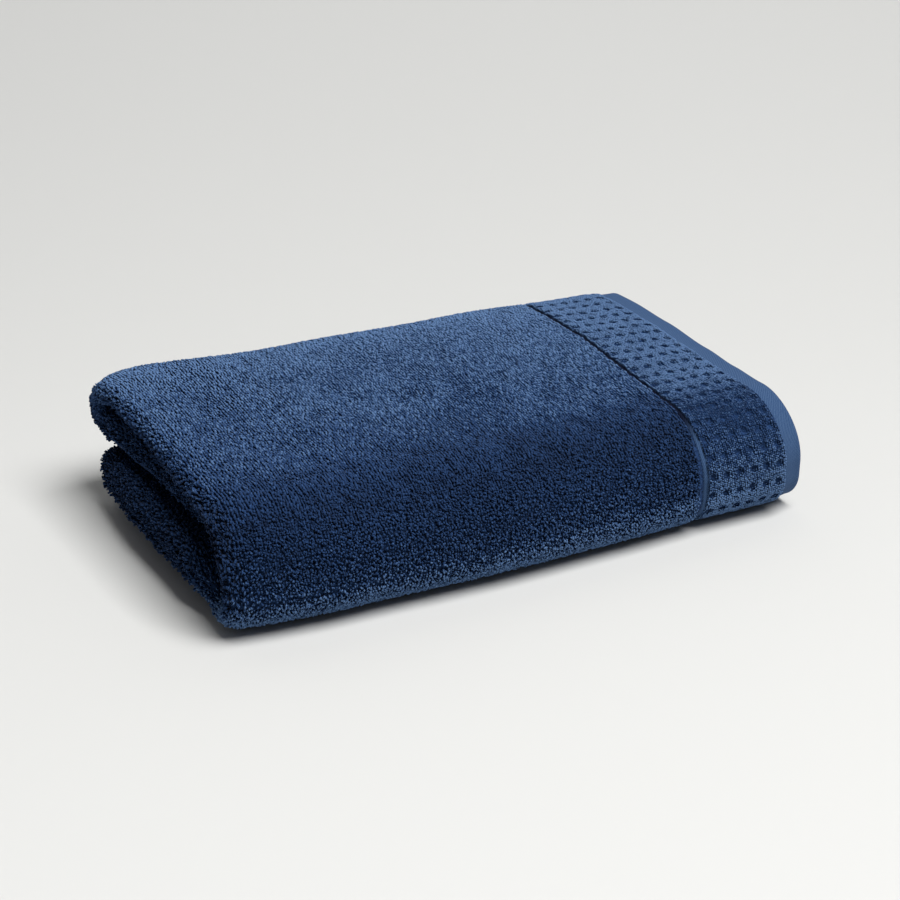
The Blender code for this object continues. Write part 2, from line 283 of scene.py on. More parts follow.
# From hem to hem.
BORDER = (
    Stretch("hem", HEM_WIDTH, 3),
    Stretch("hem step", STEP, 1),
    Stretch("band", LINE_START - HEM_WIDTH - 2 * STEP, 8),
    Stretch("line step in", STEP, 1),
    Stretch("line", LINE_WIDTH, 1),
    Stretch("line step out", STEP, 1),
)
BORDER_LENGTH = sum(stretch.length for stretch in BORDER)
ALONG = BORDER + (
    Stretch("outer run", HEM_X - RUN_X - BORDER_LENGTH, 34),
    Stretch("end curve", 0.070, 24),
    Stretch("lip", TURN_LENGTH * 0.65, 9),
    Stretch("return", 0.060, 20),
    Stretch("second run", TURN_X - RUN_X, 16),
    Stretch("right fold", TURN_LENGTH, 8),
    Stretch("third run", TURN_X - RUN_X, 12),
    Stretch("inner lead in", 0.022, 5),
    Stretch("inner fold", TURN_LENGTH, 8),
    Stretch("inner lead out", 0.022, 5),
    Stretch("last run", INNER_HEM_X - RUN_X - BORDER_LENGTH, 12),
) + BORDER[::-1]
FLAT_LENGTH = sum(stretch.length for stretch in ALONG)

# Across the width of the pad.
ACROSS = (
    Bend("bottom pad", BOTTOM_EDGE_Y - HALF_PAD - LOW_RADIUS, 0.0, 28),
    Bend("lower front corner", LOW_RADIUS * math.pi / 2, -0.5, 10),
    Bend("front", WRAP_RISE, 0.0, 3),
    Bend("upper front corner", TOP_RADIUS * math.pi / 2, -0.5, 14),
    Bend("top pad", BACK_Y - HALF_PAD - TOP_RADIUS, 0.0, 32),
    Bend("back bend", HALF_PAD * math.pi, -1.0, 16),
    Bend("middle pad", BACK_Y - MIDDLE_EDGE_Y, 0.0, 20),
)
FLAT_WIDTH = sum(bend.length for bend in ACROSS)

# Thickness by distance from the nearer hem edge.
THICKNESS = (
    Thick(0.0, FLAT_THICK),
    Thick(HEM_WIDTH, FLAT_THICK),
    Thick(HEM_WIDTH + STEP, BAND_THICK),
    Thick(LINE_START - STEP, BAND_THICK),
    Thick(LINE_START, FLAT_THICK),
    Thick(LINE_START + LINE_WIDTH, FLAT_THICK),
    Thick(LINE_START + LINE_WIDTH + STEP, TERRY_THICK),
)
print("flat cloth:", round(FLAT_WIDTH, 3), "x", round(FLAT_LENGTH, 3), "m")

# %% [markdown]
# ## The fold end
# At the left the outer layer comes over the inner fold and turns back under it in a rounded lip.
# How far it stands out, and how early it turns, changes across the wrap, which makes the two lobes
# and the hollow mouths between them.

# %% Fold end
Lip = namedtuple("Lip", "across lip_x lip_w tilt square inner_x")

# lip_x, lip_w: centre of the sharp turn, along X and out from the pad's centre
# tilt: how far the outer layer has turned, in degrees, before that sharp turn
# square: share of the way that the outer layer runs straight before it turns
# inner_x: centre of the inner pair's fold
FOLD_END = (
    Lip(0.000, -0.008, -0.0055, 84, 1.08, 0.034),    # bottom pad, back
    Lip(0.080, -0.009, -0.0072, 92, 1.12, 0.034),
    Lip(0.170, -0.006, -0.0072, 90, 1.08, 0.036),
    Lip(0.188, -0.003, -0.0010, 50, 0.84, 0.044),    # bottom pad opens to a hollow mouth
    Lip(0.202, -0.003, 0.0030, 25, 0.76, 0.048),     # lower front corner
    Lip(0.227, -0.003, 0.0020, 30, 0.76, 0.048),
    Lip(0.238, -0.003, -0.0010, 45, 0.76, 0.042),    # front
    Lip(0.262, -0.002, -0.0055, 60, 0.76, 0.036),
    Lip(0.285, -0.001, -0.0060, 65, 0.76, 0.034),    # top pad, front
    Lip(0.320, -0.001, -0.0035, 65, 0.78, 0.036),
    Lip(0.365, -0.001, -0.0010, 65, 0.82, 0.038),
    Lip(0.435, -0.004, 0.0000, 65, 0.94, 0.038),     # top pad, back
    Lip(0.455, -0.006, -0.0040, 75, 1.00, 0.034),    # back bend
    Lip(0.475, -0.008, -0.0069, 85, 1.08, 0.032),
    Lip(0.500, -0.006, -0.0069, 98, 1.16, 0.034),    # middle pad, back
    Lip(0.532, 0.000, -0.0069, 108, 1.20, 0.036),
    Lip(0.580, 0.006, -0.0069, 112, 1.22, 0.038),
    Lip(0.656, 0.011, -0.0069, 114, 1.24, 0.042),    # middle pad, front
)
print("fold end has", len(FOLD_END), "rows")

# %% [markdown]
# ## The settled stack
# The stack is lower towards the front, its front bows forward, and its top has soft ripples, a crown
# beside the border and a fuller back corner.

# %% Settled stack
Share = namedtuple("Share", "at share")
Bow = namedtuple("Bow", "at forward")
Ripple = namedtuple("Ripple", "height rate_x rate_y phase_x phase_y")
Rise = namedtuple("Rise", "height x y reach_x reach_y")

# Height of the stack by distance from the front.
HEIGHT_SHARE = (
    Share(0.000, 0.86),
    Share(0.047, 0.89),
    Share(0.073, 0.91),
    Share(0.104, 0.94),
    Share(0.150, 0.98),
    Share(0.190, 1.00),
    Share(0.237, 0.99),
)

# How far the front stands forward of a straight line, by distance along.
FRONT_BOW = (
    Bow(0.000, 0.0005),
    Bow(0.065, 0.0046),
    Bow(0.157, 0.0076),
    Bow(0.240, 0.0066),
    Bow(0.285, 0.0048),
    Bow(0.345, 0.0056),
    Bow(0.364, 0.0015),
)

# Ripples of the top. Rates are in radians per metre.
RIPPLES = (
    Ripple(0.0012, 21, 19, 0.6, 1.1),
    Ripple(0.0006, 55, 31, 0.0, 1.6),
)

# Soft rises and dips of the top.
RISES = (
    Rise(0.0030, 0.285, 0.140, 0.070, 0.060),        # crown beside the border
    Rise(0.0026, 0.030, 0.205, 0.060, 0.050),        # back corner of the fold end
    Rise(-0.0010, 0.160, 0.190, 0.050, 0.050),       # hollow between the two
)
print("front bows by up to", max(1000 * row.forward for row in FRONT_BOW), "mm")

# %% [markdown]
# ## Reading the tables
# Straight lines between a table's rows would leave creases in the cloth, so a reading eases from
# row to row, level at each. A spline would overshoot between rows that lie close together.

# %% Reading
def stations(rows):
    """Cell edges along a table of stretches, each split evenly."""
    edges = [0.0]
    for row in rows:
        start = edges[-1]
        edges += [start + row.length * (cell + 1) / row.cells for cell in range(row.cells)]
    return np.array(edges)


def start_of(name, rows=ALONG):
    """Flat distance to a stretch's start, and its length."""
    at = 0.0
    for stretch in rows:
        if stretch.name == name:
            return at, stretch.length
        at += stretch.length
    raise KeyError(name)


def smooth(share):
    """Ease from 0 to 1, level at both ends."""
    share = np.clip(share, 0, 1)
    return share * share * (3 - 2 * share)


def reading(rows, column, at):
    """A smooth reading of a named column of a table keyed by its first column."""
    keys = np.array([row[0] for row in rows])
    values = np.array([getattr(row, column) for row in rows], dtype=float)
    index = np.clip(np.searchsorted(keys, at, side="right") - 1, 0, len(keys) - 2)
    share = smooth((at - keys[index]) / (keys[index + 1] - keys[index]))
    return values[index] * (1 - share) + values[index + 1] * share


print("the fold end's curve starts", round(start_of("end curve")[0], 3), "m from the hem")

# %% [markdown]
# ## Along the length
# The pad's layers run to the left, turn over each other and run back. Each stretch of the cloth is a
# line, an arc, or a cubic curve where it is soft, and gives a point and the cloth's heading there.

# %% Lengthwise
def line(x0, x1, w, t):
    """Point and unit heading on a straight run at height w in the pad."""
    heading = np.sign(x1 - x0) * np.ones_like(t)
    return x0 + (x1 - x0) * t, w * np.ones_like(t), heading, np.zeros_like(t)


def arc(x0, w0, start, sweep, t):
    """Point and unit heading on a sharp turn; angles in radians."""
    angle = start + sweep * t
    turn = np.sign(sweep)
    x, w = x0 + TURN_RADIUS * np.cos(angle), w0 + TURN_RADIUS * np.sin(angle)
    return x, w, -np.sin(angle) * turn, np.cos(angle) * turn


def curve(p0, p1, p2, p3, t):
    """Point and unit heading on a cubic curve; points are (x, w) pairs."""
    s = 1 - t
    ends = list(zip(p0, p1, p2, p3))
    x, w = (s**3 * a + 3 * s * s * t * b + 3 * s * t * t * c + t**3 * d for a, b, c, d in ends)
    dx, dw = (s * s * (b - a) + 2 * s * t * (c - b) + t * t * (d - c) for a, b, c, d in ends)
    size = np.hypot(dx, dw)
    return x, w, dx / size, dw / size


def end_curve(lip_x, lip_w, tilt, square, t):
    """The outer layer, from its straight run down to the start of the lip."""
    outer = 3 * TURN_RADIUS
    reach = square * (RUN_X - lip_x)
    x, w = lip_x - TURN_RADIUS * np.sin(tilt), lip_w + TURN_RADIUS * np.cos(tilt)
    drop = END_DROP * (outer - w) / np.sin(tilt)
    corner = (RUN_X - reach, outer + END_SWELL)
    slope = (x + drop * np.cos(tilt), w + drop * np.sin(tilt))
    return curve((RUN_X, outer), corner, slope, (x, w), np.clip(t, 0, 1)**END_EASE)


def return_curve(lip_x, lip_w, inner_x, t):
    """The same layer, from the end of the lip back to its straight run."""
    level, second = lip_w - TURN_RADIUS, -3 * TURN_RADIUS
    way = inner_x - lip_x
    out = (lip_x + RETURN_IN * way, level)
    back = (lip_x + RETURN_OUT * way, second)
    return curve((lip_x, level), out, back, (RUN_X, second), 1 - (1 - np.clip(t, 0, 1))**END_EASE)


def lengthwise(u, v):
    """Where the cloth's middle lies in the pad: x, w and its heading."""
    lip_x, lip_w, square, inner_x = (
        reading(FOLD_END, column, v) for column in ("lip_x", "lip_w", "square", "inner_x"))
    tilt = np.radians(reading(FOLD_END, "tilt", v))
    pi = math.pi
    inner, outer = TURN_RADIUS, 3 * TURN_RADIUS
    rules = {
        "outer run": lambda t: line(HEM_X - BORDER_LENGTH, RUN_X, outer, t),
        "end curve": lambda t: end_curve(lip_x, lip_w, tilt, square, t),
        "lip": lambda t: arc(lip_x, lip_w, pi / 2 + tilt, pi - tilt, t),
        "return": lambda t: return_curve(lip_x, lip_w, inner_x, t),
        "second run": lambda t: line(RUN_X, TURN_X, -outer, t),
        "right fold": lambda t: arc(TURN_X, -2 * TURN_RADIUS, -pi / 2, pi, t),
        "third run": lambda t: line(TURN_X, RUN_X, -inner, t),
        "inner lead in": lambda t: line(RUN_X, inner_x, -inner, t),
        "inner fold": lambda t: arc(inner_x, 0.0, -pi / 2, -pi, t),
        "inner lead out": lambda t: line(inner_x, RUN_X, inner, t),
        "last run": lambda t: line(RUN_X, INNER_HEM_X - BORDER_LENGTH, inner, t),
    }
    spot = None
    for name, rule in rules.items():
        at, length = start_of(name)
        found = rule((u - at) / length)
        if spot is not None:
            found = tuple(np.where(u > at, new, old) for new, old in zip(found, spot))
        spot = found
    return spot


print("the lip starts at", round(float(lengthwise(start_of("lip")[0], 0.36)[0]), 4), "m along")

# %% [markdown]
# ## Across the width
# The pad is wrapped like paper: straight on, a half turn over the front, straight back, and a half
# turn down behind. Each bend turns the heading at a steady rate.

# %% Crosswise
def crosswise(v):
    """The pad's middle line in Y and Z, with the normal to its outer side."""
    y, z = np.full_like(v, BOTTOM_EDGE_Y), np.full_like(v, HALF_PAD)
    heading = np.full_like(v, math.pi)
    at = 0.0
    for bend in ACROSS:
        gone = np.clip(v - at, 0, bend.length)
        if bend.half_turns:
            rate = bend.half_turns * math.pi / bend.length
            y = y + (np.sin(heading + rate * gone) - np.sin(heading)) / rate
            z = z - (np.cos(heading + rate * gone) - np.cos(heading)) / rate
            heading = heading + rate * gone
        else:
            y = y + np.cos(heading) * gone
            z = z + np.sin(heading) * gone
        at += bend.length
    beyond = v - np.clip(v, 0, FLAT_WIDTH)
    y = y + np.cos(heading) * beyond
    z = z + np.sin(heading) * beyond
    return y, z, -np.sin(heading), np.cos(heading)


print("the wrap ends in Y, Z at", [round(float(at), 4) for at in crosswise(np.array(FLAT_WIDTH))[:2]])

# %% [markdown]
# ## Settling and folding
# Last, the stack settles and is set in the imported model's place. After this, one call takes any
# point of the flat towel to the folded one.

# %% Fold
def settle(x, y, z):
    """The stack as it lies: lower at the front, fuller at the fold end, uneven."""
    z = np.maximum(z - SURFACE_GAP, 0)
    level = z / STACK_HEIGHT
    along = np.clip(x / HEM_X, 0, 1)
    share = FOLD_END_SHARE + (HEM_END_SHARE - FOLD_END_SHARE) * along
    share = share * reading(HEIGHT_SHARE, "share", y)
    fullness = smooth((LIFT_FROM - x) / LIFT_OVER) * smooth((y - LIFT_FRONT) / LIFT_DEPTH)
    lift = END_LIFT * fullness * np.minimum(level * PADS, (1 - level) * PADS / (PADS - 1))
    top = -HEM_SAG * smooth((x - SAG_FROM) / SAG_OVER)
    for row in RIPPLES:
        ripple = np.sin(row.rate_x * x + row.phase_x) * np.sin(row.rate_y * y + row.phase_y)
        top = top + row.height * ripple
    for row in RISES:
        away = ((x - row.x) / row.reach_x)**2 + ((y - row.y) / row.reach_y)**2
        top = top + row.height * np.exp(-away)
    forward = reading(FRONT_BOW, "forward", x) * np.clip(1 - y / BOW_DEPTH, 0, 1)
    return x, y - forward, z * share + lift + top * level


PLACE = np.array((towel_high.x - HEM_X, towel_high.y - (FOLDED_DEPTH - SURFACE_GAP), towel_low.z))


def fold(u, v, n):
    """Take points of the flat towel (along, across, out of its face) to the folded one."""
    v = v + STAGGER * np.sin(4 * math.pi * u / FLAT_LENGTH + STAGGER_PHASE)
    x, w, dx, dw = lengthwise(u, v)
    x, w = x + n * dw, w - n * dx
    drift = EDGE_SKEW * smooth(1 - x / HEM_X) * np.clip(1 - v / SKEW_WIDTH, 0, 1)
    y, z, ny, nz = crosswise(v + drift)
    return np.stack(settle(x, y + w * ny, z + w * nz), axis=-1) + PLACE


print("outer hem, middle of the top:", np.round(1000 * fold(0.0, np.array([0.36]), 0.0015)).tolist())

# %% [markdown]
# ## Faces of the cloth
# Where loops will be made, the ground cloth's face is drawn back by the height of the pile, so that
# the loops' tips come out where the towel's surface is. In the hidden layers the face stays full.
# The sunk line beside the band lies open on the front, and on the top the pile leans over it.

# %% Face heights
PILE_DEPTH = 0.0022     # how far the ground lies below the tips of the terry
SELVEDGE_WIDTH = 0.007  # woven flat along each side edge
SELVEDGE_EASE = 0.002   # width over which the cloth thins to it
SELVEDGE_THICK = 0.0026
LINE_SINK = 0.0012  # how far tight weaving draws the sunk line in
SLIT_FROM = 0.035   # from the start of the upper front corner to where the line is a slit
SLIT_EASE = 0.02

END_REACH = 0.018    # how far pile goes on under the lips of the fold end
UNDER_REACH = 0.006  # and under the stack at the front
BACK_REACH = 0.012   # and past the back bend
PILE_EASE_U, PILE_EASE_V = 0.003, 0.012  # lengths over which the ground comes up past the pile
PILE_U = (LINE_START + LINE_WIDTH + STEP, start_of("return")[0] + END_REACH)
PILE_V = (start_of("bottom pad", ACROSS)[1] - UNDER_REACH, start_of("middle pad", ACROSS)[0] + BACK_REACH)


def span(at, first, last, ease):
    """1 between first and last, easing to 0 outside."""
    return smooth((at - first) / ease + 1) * smooth((last - at) / ease + 1)


def piled(v):
    """1 across the width that has pile, easing to 0 outside."""
    return span(v, *PILE_V, PILE_EASE_V)


def in_line(u):
    """1 in the woven line, 0 past its steps."""
    return span(u, LINE_START, LINE_START + LINE_WIDTH, STEP)


top_from = start_of("upper front corner", ACROSS)[0]


def over_line(v):
    """1 on the top, where the pile leans over the sunk line until only a slit is left; the slit is painted
    dark as shade.
    """
    return span(v, top_from + SLIT_FROM, FLAT_WIDTH, SLIT_EASE)


def half_thickness(u):
    """Half the cloth's full thickness, which is the same from either hem."""
    keys, thick = zip(*THICKNESS)
    return np.interp(np.minimum(u, FLAT_LENGTH - u), keys, thick) / 2


def selvedge(v):
    """How much a place belongs to the flat side edges."""
    edge = np.minimum(v, FLAT_WIDTH - v)
    return 1 - smooth((edge - SELVEDGE_WIDTH) / SELVEDGE_EASE)


def ground_height(u, v, side, edge_thick, pile):
    """n of a ground cloth's face: thin at the side edges, drawn back under the pile, sunk in the line."""
    thin = half_thickness(u) * (1 - selvedge(v)) + selvedge(v) * edge_thick / 2
    return side * (thin - (side > 0) * (pile * piled(v) + in_line(u) * LINE_SINK))


print("pile from u", [round(x, 3) for x in PILE_U], "and v", [round(x, 3) for x in PILE_V])

# %% [markdown]
# ## Cloth maker
# The cloth under the pile is one closed sheet. It starts as a flat grid, Solidify gives it two faces
# and an edge all round, and then the fold rule takes each point to its place. Bending it with
# modifiers would need a bone or curve for each fold, and they would stretch the cloth.

# %% Cloth maker
towel_pieces = bpy.data.collections.new("towel pieces")
scene.collection.children.link(towel_pieces)


def flat_sheet(name, columns, rows):
    """A closed flat sheet of cells."""
    shape = bmesh.new()
    bmesh.ops.create_grid(shape, x_segments=columns, y_segments=rows, size=0.5)
    sheet = bpy.data.objects.new(name, new_mesh(name, shape))
    towel_pieces.objects.link(sheet)
    thick = sheet.modifiers.new("Thickness", "SOLIDIFY")
    thick.thickness = TERRY_THICK
    thick.offset = 0.0
    sheet.data = bpy.data.meshes.new_from_object(sheet.evaluated_get(bpy.context.evaluated_depsgraph_get()))
    sheet.modifiers.clear()
    return sheet


def add_cloth_map(mesh, u, v):
    """A UV map in metres of flat cloth, for patterns that follow the weave."""
    corners = np.empty(len(mesh.loops), dtype=int)
    mesh.loops.foreach_get("vertex_index", corners)
    layer = mesh.uv_layers.new(name="cloth")
    layer.data.foreach_set("uv", np.stack([u[corners], v[corners]], axis=-1).ravel())


def folded_sheet(name, along, across, height, material):
    """Folds a flat sheet with its cell edges along and across; height gives n from u, v and side."""
    sheet = flat_sheet(name, len(along) - 1, len(across) - 1)
    mesh = sheet.data
    flat = np.empty(len(mesh.vertices) * 3)
    mesh.vertices.foreach_get("co", flat)
    x, y, z = flat.reshape(-1, 3).T
    u = np.interp(x + 0.5, np.linspace(0, 1, len(along)), along)
    v = np.interp(y + 0.5, np.linspace(0, 1, len(across)), across)
    side = np.sign(z)
    mesh.vertices.foreach_set("co", fold(u, v, height(u, v, side)).ravel())
    shape = bmesh.new()
    shape.from_mesh(mesh)
    bmesh.ops.recalc_face_normals(shape, faces=shape.faces)
    shape.to_mesh(mesh)
    shape.free()
    add_cloth_map(mesh, u, v)
    # painted shade of the slit that the sunk line is on the top
    mesh.attributes.new("painted_slit_shade", "FLOAT", "POINT").data.foreach_set("value", in_line(u) * over_line(v))
    mesh.materials.append(material)
    mesh.shade_smooth()
    print(name, "has", 2 * len(mesh.polygons), "triangles")
    return sheet

# %% [markdown]
# ## Finish of the loops
# Cotton yarn is matt, but its fibres stand off it and catch light at a glancing angle, which is its
# sheen. Four things set a loop's colour: rise, which paints shade on its foot, as if it stood in the
# dark of the pile, and light on its tip; tint, because no two are alike; painted light and shade by
# its place on the towel, with random patches of tone; and its own light and dark fibres.

# %% Loop finish
TERRY_DARK = "#020a20"    # painted shade deep in the pile
TERRY_MID = "#25406a"
TERRY_LIGHT = "#5c7ba6"   # painted light on the tips
SHEEN = "#9fb6dd"
FIBRE_SIZE = 0.0009  # coarser than real, or it would not show
LOOP_FOOT = -0.36    # painted shade at the foot of a loop
TIP_SHARE, TIP_POWER = 0.90, 1.3  # how much painted light the tip gets, and how late up the loop that comes
# shares of random tint, of painted light and shade with random tone, and of fibres
TINT_SHARE, PAINTED_LIGHT_AND_TONE_SHARE, FIBRE_SHARE = 0.32, 1.00, 0.60


def cotton_material(name, sheen):
    """Dyed cotton yarn: matt, with a little sheen of the fibres that stand off it."""
    return new_material(name, {
        "Roughness": 0.9, "Specular IOR Level": 0.12,
        "Sheen Weight": sheen, "Sheen Roughness": 0.45, "Sheen Tint": linear(SHEEN)})


def loop_material():
    """Twisted cotton loops, painted with shade at the foot and light at the tip, so the pile looks thick
    and soft.
    """
    material, tree, shader = cotton_material("navy cotton loops", 0.10)
    tint, rise, painted_light_and_tone = (add_node(tree, "ShaderNodeAttribute", attribute_name=name).outputs["Fac"]
                       for name in ("tint", "rise", "painted_light_and_tone"))
    place = add_node(tree, "ShaderNodeTexCoord").outputs["Object"]
    fibres = add_node(tree, "ShaderNodeTexNoise",
                      {"Vector": place, "Scale": 1 / FIBRE_SIZE, "Detail": 1.0}).outputs["Fac"]
    # painted shade at the foot of each loop, painted light at its tip
    tip = add_node(tree, "ShaderNodeMath", {0: rise, 1: TIP_POWER}, operation="POWER")
    shade = LOOP_FOOT
    for share, number in ((TIP_SHARE, tip), (TINT_SHARE, tint), (PAINTED_LIGHT_AND_TONE_SHARE, painted_light_and_tone), (FIBRE_SHARE, fibres)):
        shade = add_node(tree, "ShaderNodeMath", {0: number, 1: share, 2: shade},
                         operation="MULTIPLY_ADD")
    colour = add_node(tree, "ShaderNodeValToRGB", {"Fac": shade},
                      stops=((0.0, TERRY_DARK), (0.65, TERRY_MID), (1.0, TERRY_LIGHT)))
    set_inputs(shader, {"Base Color": colour})
    return material


LOOPS = loop_material()
print("loop finish has", len(LOOPS.node_tree.nodes), "nodes")

# %% [markdown]
# ## Finish of the ground cloth
# The ground is plain tight cotton, seen in the dark gaps between loops. A speckle and a fine bump are
# enough for it; the speckle runs down to the pile's painted deep shade, so its darkness is partly
# painted shade.

# %% Ground finish
SPECKS_PER_METRE = 700.0  # one light or dark speck of yarn each 1.4 mm
GROUND_RELIEF = 0.0012


def ground_material():
    """Ground cloth: dull, and painted dark with the pile's deep shade, so the loops stand out before it."""
    material, tree, shader = cotton_material("navy cotton ground cloth", 0.0)
    place = add_node(tree, "ShaderNodeTexCoord").outputs["Object"]
    grain = add_node(tree, "ShaderNodeTexNoise",
                     {"Vector": place, "Scale": SPECKS_PER_METRE, "Detail": 2.0}).outputs["Fac"]
    colour = add_node(tree, "ShaderNodeValToRGB", {"Fac": grain},
                      stops=((0.20, TERRY_DARK), (0.65, TERRY_MID)))
    bump = add_node(tree, "ShaderNodeBump",
                    {"Height": grain, "Distance": GROUND_RELIEF, "Strength": 0.8})
    set_inputs(shader, {"Base Color": colour, "Normal": bump})
    return material


GROUND = ground_material()
print("ground finish has", len(GROUND.node_tree.nodes), "nodes")

# %% [markdown]
# ## Finish of the hem and the line
# The hem and the sunk line are woven flat, with a fine diagonal rib, drawn on the cloth's own map,
# which is in metres. A wave node has a band in each 2 pi / 10 of its scaled length, measured along
# both directions of the map together.

# %% Weave finish
HEM_DARK = "#2c466c"
HEM_LIGHT = "#445d80"
WEAVE = 0.0011  # rib spacing, about twice the real one, or it would not show
WEAVE_RELIEF = 0.0003


def weave_material():
    """Flat weave: smooth and a little lighter than the pile, with painted shade where the line is a slit.
    """
    material, tree, shader = cotton_material("navy cotton flat weave", 0.06)
    flat = add_node(tree, "ShaderNodeUVMap", uv_map="cloth")
    yarns = add_node(tree, "ShaderNodeTexWave",
                     {"Vector": flat, "Scale": math.pi * math.sqrt(2) / (10 * WEAVE),
                      "Distortion": 3.0, "Detail": 2.0, "Detail Scale": 2.0},
                     bands_direction="DIAGONAL").outputs["Fac"]
    colour = add_node(tree, "ShaderNodeValToRGB", {"Fac": yarns},
                      stops=((0.0, HEM_DARK), (1.0, HEM_LIGHT)))
    painted_slit_shade = add_node(tree, "ShaderNodeAttribute", attribute_name="painted_slit_shade").outputs["Fac"]
    # painted shade: in the slit the weave is mixed towards the pile's darkest colour
    shaded = add_node(tree, "ShaderNodeMix",
                      {"Factor": painted_slit_shade, 6: colour, 7: linear(TERRY_DARK)}, data_type="RGBA")
    bump = add_node(tree, "ShaderNodeBump",
                    {"Height": yarns, "Distance": WEAVE_RELIEF, "Strength": 0.6})
    set_inputs(shader, {"Base Color": shaded.outputs[2], "Normal": bump})
    return material


WOVEN = weave_material()
print("weave finish has", len(WOVEN.node_tree.nodes), "nodes")

# %% [markdown]
# ## Ground cloth
# The field of the towel, from inside the sunk line to the far hem. The textured border needs much
# smaller cells, so it is a strip of its own, and the two meet inside the sunk line, where nobody
# can see the join.

# %% Ground cloth
def field_height(u, v, side):
    """n of the terry field's ground cloth, drawn back under the pile."""
    return ground_height(u, v, side, SELVEDGE_THICK, PILE_DEPTH * span(u, *PILE_U, PILE_EASE_U))


FIELD_START = LINE_START + LINE_WIDTH / 2
along_all, across_all = stations(ALONG), stations(ACROSS)
field_along = np.concatenate([[FIELD_START], along_all[along_all > FIELD_START]])
ground = folded_sheet("towel_ground", field_along, across_all, field_height, GROUND)

# %% [markdown]
# ## Border
# The band is low terry woven on a grid of small pits, and past it lie the flat hem and the sunk line.
# The strip is measured along its outer face, so that the pits keep their spacing round the corners.

# %% Border strip
PIT_ALONG = 0.0096   # spacing of the pits along the towel
PIT_ACROSS = 0.0118  # and across it
PIT_LENGTH, PIT_WIDTH = 0.0049, 0.0045
PIT_DEPTH = 0.0009
BAND_PILE = 0.0011  # height of the low pile on the band
MEASURES = 3000     # points at which the outer face is measured


def lengths_over(u, v, n):
    """Length over the folded cloth from the first of these flat places to each of them."""
    steps = np.linalg.norm(np.diff(fold(u, v, n), axis=0), axis=1)
    return np.concatenate([[0.0], np.cumsum(steps)])


def even_places(first, last, spacing, flat, lengths):
    """Flat places from first to last that lie evenly on the cloth, by its lengths at flat ones."""
    start, end = np.interp((first, last), flat, lengths)
    count = max(1, round((end - start) / spacing))
    return np.interp(np.linspace(start, end, count + 1), lengths, flat)


measure_v = np.linspace(0, FLAT_WIDTH, MEASURES)
measure_s = lengths_over(LINE_START / 2, measure_v, BAND_THICK / 2)
print("outer face is", round(measure_s[-1], 3), "m round")


def pit(u, v):
    """1 in the middle of each pit of the band, 0 between them."""
    s = np.interp(v, measure_v, measure_s)
    first = HEM_WIDTH + STEP + 0.5 * PIT_ALONG
    from_u = (u - first + PIT_ALONG / 2) % PIT_ALONG - PIT_ALONG / 2
    from_s = (s + PIT_ACROSS / 2) % PIT_ACROSS - PIT_ACROSS / 2
    away = (2 * from_u / PIT_LENGTH)**2 + (2 * from_s / PIT_WIDTH)**2
    return np.exp(-away**2)


def in_band(u):
    """True on the band, False on the hem and the line."""
    return (u > HEM_WIDTH + STEP / 2) & (u < LINE_START - STEP / 2)


def border_height(u, v, side):
    """n of the border's ground cloth, drawn back under the low pile and more in the pits."""
    pile = in_band(u) * (BAND_PILE + PIT_DEPTH * pit(u, v))
    return ground_height(u, v, side, FLAT_THICK, pile)

# %% [markdown]
# ## Laying the border
# Small cells where the band shows, round the outside of the wrap, and long ones where it is hidden.
# Band and pits get the ground's finish, and hem and line the flat weave.

# %% Border
CELL = 0.0016      # cell size where the border shows
HIDDEN_CELLS = 29  # cells across each hidden end of the strip
HEM_CELLS, LINE_CELLS = 7, 2


def split(start, end, cells):
    """Even cell edges from start up to, but without, end."""
    return np.linspace(start, end, cells + 1)[:-1]


wrap_from, wrap_to = PILE_V
band_from, band_to = HEM_WIDTH + STEP, LINE_START - STEP
line_end = LINE_START + LINE_WIDTH
border_across = np.concatenate([
    split(0, wrap_from, HIDDEN_CELLS),
    even_places(wrap_from, wrap_to, CELL, measure_v, measure_s)[:-1],
    split(wrap_to, FLAT_WIDTH, HIDDEN_CELLS), [FLAT_WIDTH]])
border_along = np.concatenate([
    split(0, HEM_WIDTH, HEM_CELLS), [HEM_WIDTH],
    split(band_from, band_to, round((band_to - band_from) / CELL) - 1), [band_to],
    split(LINE_START, line_end, LINE_CELLS), [line_end]])
border = folded_sheet("towel_border", border_along, border_across, border_height, GROUND)
border.data.materials.append(WOVEN)
flat_map = border.data.uv_layers["cloth"].data
for face in border.data.polygons:
    u, v = sum((flat_map[corner].uv for corner in face.loop_indices), Vector((0, 0))) / face.loop_total
    if not in_band(u):
        face.material_index = 1

# %% [markdown]
# ## One loop
# Each loop of terry is a small arch of yarn, fat in the middle and thin at its feet. Tens of
# thousands are needed, so it has only a dozen triangles, and smooth shading rounds it.

# %% One loop
ARCH_REACH, ARCH_RISE = 0.40, 0.62  # half length and height of the line through the yarn's middle
YARN_HIGH, YARN_LONG = 0.38, 0.304  # half thickness of the yarn, upwards and along the loop
FOOT = -0.1  # feet end a little below the ground cloth's face


